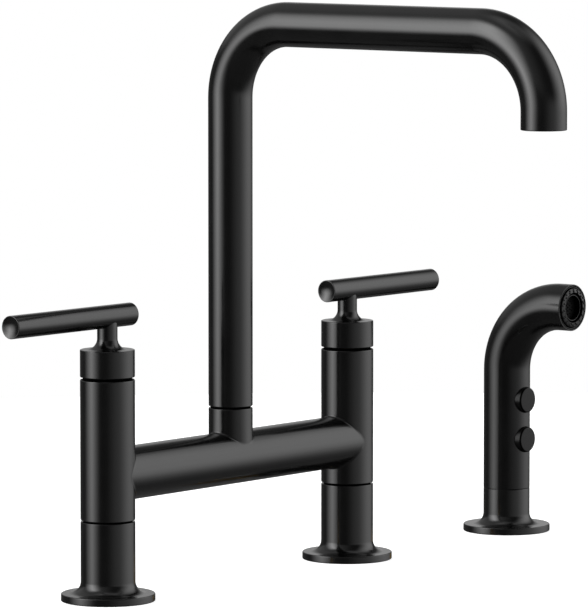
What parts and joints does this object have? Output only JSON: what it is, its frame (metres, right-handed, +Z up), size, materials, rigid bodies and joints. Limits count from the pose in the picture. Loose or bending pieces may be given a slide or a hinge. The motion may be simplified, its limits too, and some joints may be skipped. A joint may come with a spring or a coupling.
{
  "type": "bridge kitchen faucet",
  "caption": "Deck-mounted bridge faucet with a square-bend swivel spout, bar lever handles and a separate push-button side spray on its own flange.",
  "frame": {"origin": "on the deck's surface, midway between the axes of the two posts", "axes": "+X along the bridge towards the side spray, -Y the way the spout reaches at rest, +Z up from the deck"},
  "size_m": [0.4528, 0.2466, 0.3761],
  "materials": {
    "black_metal": "matte black coat",
    "black_plastic": "satin moulded",
    "black_rubber": "matte",
    "brass": "turned",
    "steel": "zinc plated",
    "ceramic": "lapped",
    "white_plastic": "moulded",
    "spring_steel": "drawn wire"
  },
  "bodies": {
    "faucet_body": {"left_post_base": "black_metal", "left_deck_gasket": "black_rubber", "left_supply_shank": "brass", "left_valve_body": "black_metal", "left_cartridge_housing": "brass", "left_fixed_disc": "ceramic", "left_bonnet_nut": "brass", "right_post_base": "black_metal", "right_deck_gasket": "black_rubber", "right_supply_shank": "brass", "right_valve_body": "black_metal", "right_cartridge_housing": "brass", "right_fixed_disc": "ceramic", "right_bonnet_nut": "brass", "post_washers": "steel", "post_mounting_nuts": "brass", "seat_seals": "black_rubber", "cartridge_o_rings": "black_rubber", "bridge_tube": "black_metal", "bridge_nipples": "brass", "diverter_body": "brass", "spout_bearing_ring": "black_plastic", "spout_retaining_screw": "steel", "spray_holder_base": "black_metal", "spray_deck_gasket": "black_rubber", "spray_holder_shank": "brass", "spray_holder_liner": "white_plastic", "spray_holder_washer": "steel", "spray_holder_nut": "brass"},
    "left_handle": {"left_handle_hub": "black_metal", "left_lever_bar": "black_metal", "left_set_screw": "steel", "left_cartridge_stem": "brass", "left_moving_disc": "ceramic", "left_stem_o_rings": "black_rubber"},
    "right_handle": {"right_handle_hub": "black_metal", "right_lever_bar": "black_metal", "right_set_screw": "steel", "right_cartridge_stem": "brass", "right_moving_disc": "ceramic", "right_stem_o_rings": "black_rubber"},
    "spout": {"spout_tube": "black_metal", "spout_stem": "brass", "spout_o_rings": "black_rubber", "aerator_housing": "brass", "aerator_insert": "white_plastic"},
    "diverter_valve": {"diverter_poppet": "white_plastic"},
    "side_spray": {"wand_body": "black_metal", "hose_nipple": "brass", "wand_water_tubes": "white_plastic", "wand_valve_block": "white_plastic", "lower_button_spring": "spring_steel", "upper_button_spring": "spring_steel", "spray_manifold": "white_plastic", "spray_face_ring": "black_plastic", "spray_nozzle_plate": "black_plastic", "spray_aerator": "black_plastic"},
    "lower_spray_button": {"lower_button": "black_plastic"},
    "upper_spray_button": {"upper_button": "black_plastic"}
  },
  "joints": [
    {"name": "spout_swivel", "type": "hinge", "parent": "faucet_body", "child": "spout", "pos_m": [0, 0, 0.0942], "axis": [0, 0, 1], "continuous": true},
    {"name": "left_handle_turn", "type": "hinge", "parent": "faucet_body", "child": "left_handle", "pos_m": [-0.1016, 0, 0.1182], "axis": [0, 0, 1], "range_deg": [0, 90]},
    {"name": "right_handle_turn", "type": "hinge", "parent": "faucet_body", "child": "right_handle", "pos_m": [0.1016, 0, 0.1182], "axis": [0, 0, 1], "range_deg": [-90, 0]},
    {"name": "diverter_lift", "type": "slide", "parent": "faucet_body", "child": "diverter_valve", "axis": [0, 0, 1], "range_m": [0, 0.002]},
    {"name": "side_spray_lift", "type": "slide", "parent": "faucet_body", "child": "side_spray", "axis": [0, 0, 1], "range_m": [0, 0.06]},
    {"name": "lower_button_press", "type": "slide", "parent": "side_spray", "child": "lower_spray_button", "axis": [0, 1, 0], "range_m": [0, 0.002], "stiffness_N_per_m": 1000, "springref_m": -0.002, "deforming": ["lower_button_spring"]},
    {"name": "upper_button_press", "type": "slide", "parent": "side_spray", "child": "upper_spray_button", "axis": [0, 1, 0], "range_m": [0, 0.002], "stiffness_N_per_m": 1000, "springref_m": -0.002, "deforming": ["upper_button_spring"]}
  ]
}
